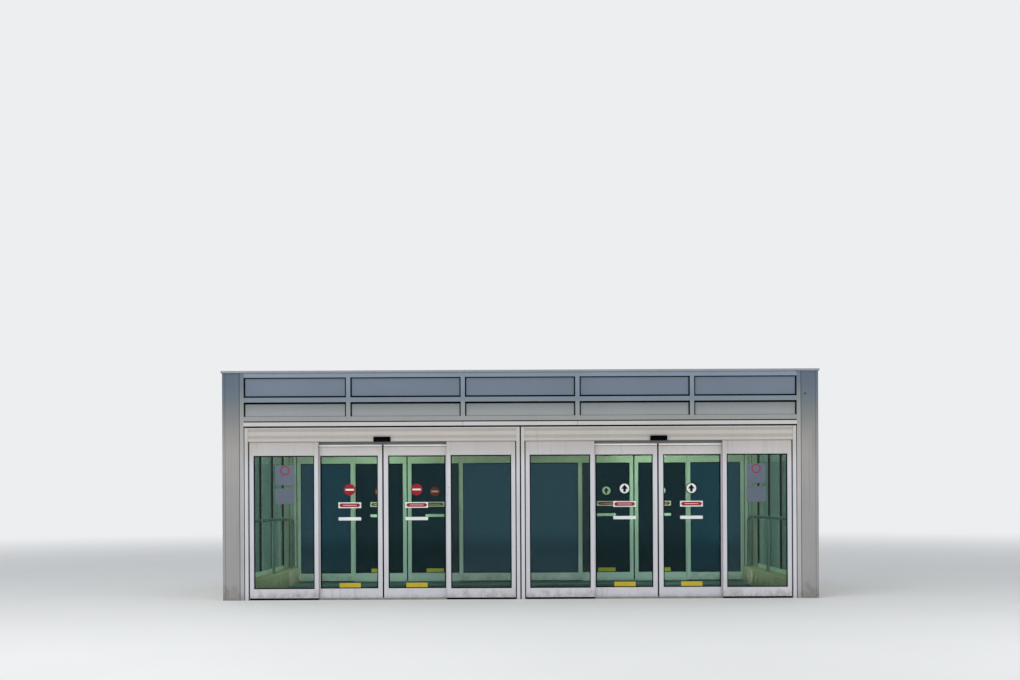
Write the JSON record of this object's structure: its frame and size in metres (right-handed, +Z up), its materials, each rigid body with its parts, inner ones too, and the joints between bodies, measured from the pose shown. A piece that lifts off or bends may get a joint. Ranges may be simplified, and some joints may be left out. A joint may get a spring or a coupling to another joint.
{
  "type": "automatic sliding door entrance lobby",
  "caption": "Glazed entrance lobby between an outer and an inner row of automatic bi-parting sliding doors, with sidelites and a panelled band above.",
  "frame": {"origin": "on the ground at the centre of the lobby's plan", "axes": "+X to the right along the front as seen from the street, +Y inwards from the street to the building, +Z up"},
  "size_m": [7.954, 3.4446, 3.05],
  "materials": {
    "door_metal": "satin anodised, light silver",
    "trim_metal": "bright silver, semi-gloss",
    "post_metal": "warm light grey paint, satin",
    "transom_metal": "light grey paint, satin",
    "lower_panel_metal": "grey paint, semi-gloss",
    "upper_panel_metal": "blue grey paint, semi-gloss",
    "beam_metal": "dark grey primer, matt",
    "glass": "green tinted, clear",
    "joint_rubber": "black, matt",
    "mat_fabric": "dark ribbed entrance mat",
    "sill_steel": "brushed, worn",
    "rail_steel": "brushed",
    "plinth_stone": "cast stone, fine grained",
    "floor_concrete": "smooth concrete",
    "sensor_plastic": "black, glossy",
    "ceiling_paint": "white metal lining, matt",
    "light_lens": "diffusing lens",
    "roof_membrane": "grey coated sheet, matt",
    "coping_metal": "mill finish, dull"
  },
  "bodies": {
    "lobby": {"floor_slab": "floor_concrete", "entrance_mat": "mat_fabric", "door_sills": "sill_steel", "side_plinths": "plinth_stone", "corner_posts": "post_metal", "portal_jambs": "door_metal", "door_jambs": "door_metal", "rubber_joints": "joint_rubber", "track_stops": "joint_rubber", "header_channels": "door_metal", "header_covers": "door_metal", "door_sensors": "sensor_plastic", "lintel_beams": "beam_metal", "header_trims": "trim_metal", "sidelite_frames": "door_metal", "sidelite_glass": "glass", "front_transom_frame": "transom_metal", "rear_transom_frame": "transom_metal", "side_wall_frames": "transom_metal", "lower_transom_panels": "lower_panel_metal", "upper_transom_panels": "upper_panel_metal", "side_wall_glass": "glass", "guard_rails": "rail_steel", "ceiling": "ceiling_paint", "ceiling_lights": "light_lens", "roof_deck": "roof_membrane", "roof_coping": "coping_metal"},
    "outer_exit_left": {"outer_exit_left_leaf": "door_metal", "outer_exit_left_glass": "glass"},
    "outer_exit_right": {"outer_exit_right_leaf": "door_metal", "outer_exit_right_glass": "glass"},
    "outer_entry_left": {"outer_entry_left_leaf": "door_metal", "outer_entry_left_glass": "glass"},
    "outer_entry_right": {"outer_entry_right_leaf": "door_metal", "outer_entry_right_glass": "glass"},
    "inner_exit_left": {"inner_exit_left_leaf": "door_metal", "inner_exit_left_glass": "glass"},
    "inner_exit_right": {"inner_exit_right_leaf": "door_metal", "inner_exit_right_glass": "glass"},
    "inner_entry_left": {"inner_entry_left_leaf": "door_metal", "inner_entry_left_glass": "glass"},
    "inner_entry_right": {"inner_entry_right_leaf": "door_metal", "inner_entry_right_glass": "glass"}
  },
  "joints": [
    {"name": "outer_exit_left_slide", "type": "slide", "parent": "lobby", "child": "outer_exit_left", "axis": [-1, 0, 0], "range_m": [0, 0.83]},
    {"name": "outer_exit_right_slide", "type": "slide", "parent": "lobby", "child": "outer_exit_right", "axis": [1, 0, 0], "range_m": [0, 0.83]},
    {"name": "outer_entry_left_slide", "type": "slide", "parent": "lobby", "child": "outer_entry_left", "axis": [-1, 0, 0], "range_m": [0, 0.83]},
    {"name": "outer_entry_right_slide", "type": "slide", "parent": "lobby", "child": "outer_entry_right", "axis": [1, 0, 0], "range_m": [0, 0.83]},
    {"name": "inner_exit_left_slide", "type": "slide", "parent": "lobby", "child": "inner_exit_left", "axis": [-1, 0, 0], "range_m": [0, 0.83]},
    {"name": "inner_exit_right_slide", "type": "slide", "parent": "lobby", "child": "inner_exit_right", "axis": [1, 0, 0], "range_m": [0, 0.83]},
    {"name": "inner_entry_left_slide", "type": "slide", "parent": "lobby", "child": "inner_entry_left", "axis": [-1, 0, 0], "range_m": [0, 0.83]},
    {"name": "inner_entry_right_slide", "type": "slide", "parent": "lobby", "child": "inner_entry_right", "axis": [1, 0, 0], "range_m": [0, 0.83]}
  ],
  "couplings": [
    {"joint": "outer_exit_right_slide", "follows": "outer_exit_left_slide", "ratio": 1},
    {"joint": "outer_entry_right_slide", "follows": "outer_entry_left_slide", "ratio": 1},
    {"joint": "inner_exit_right_slide", "follows": "inner_exit_left_slide", "ratio": 1},
    {"joint": "inner_entry_right_slide", "follows": "inner_entry_left_slide", "ratio": 1}
  ]
}
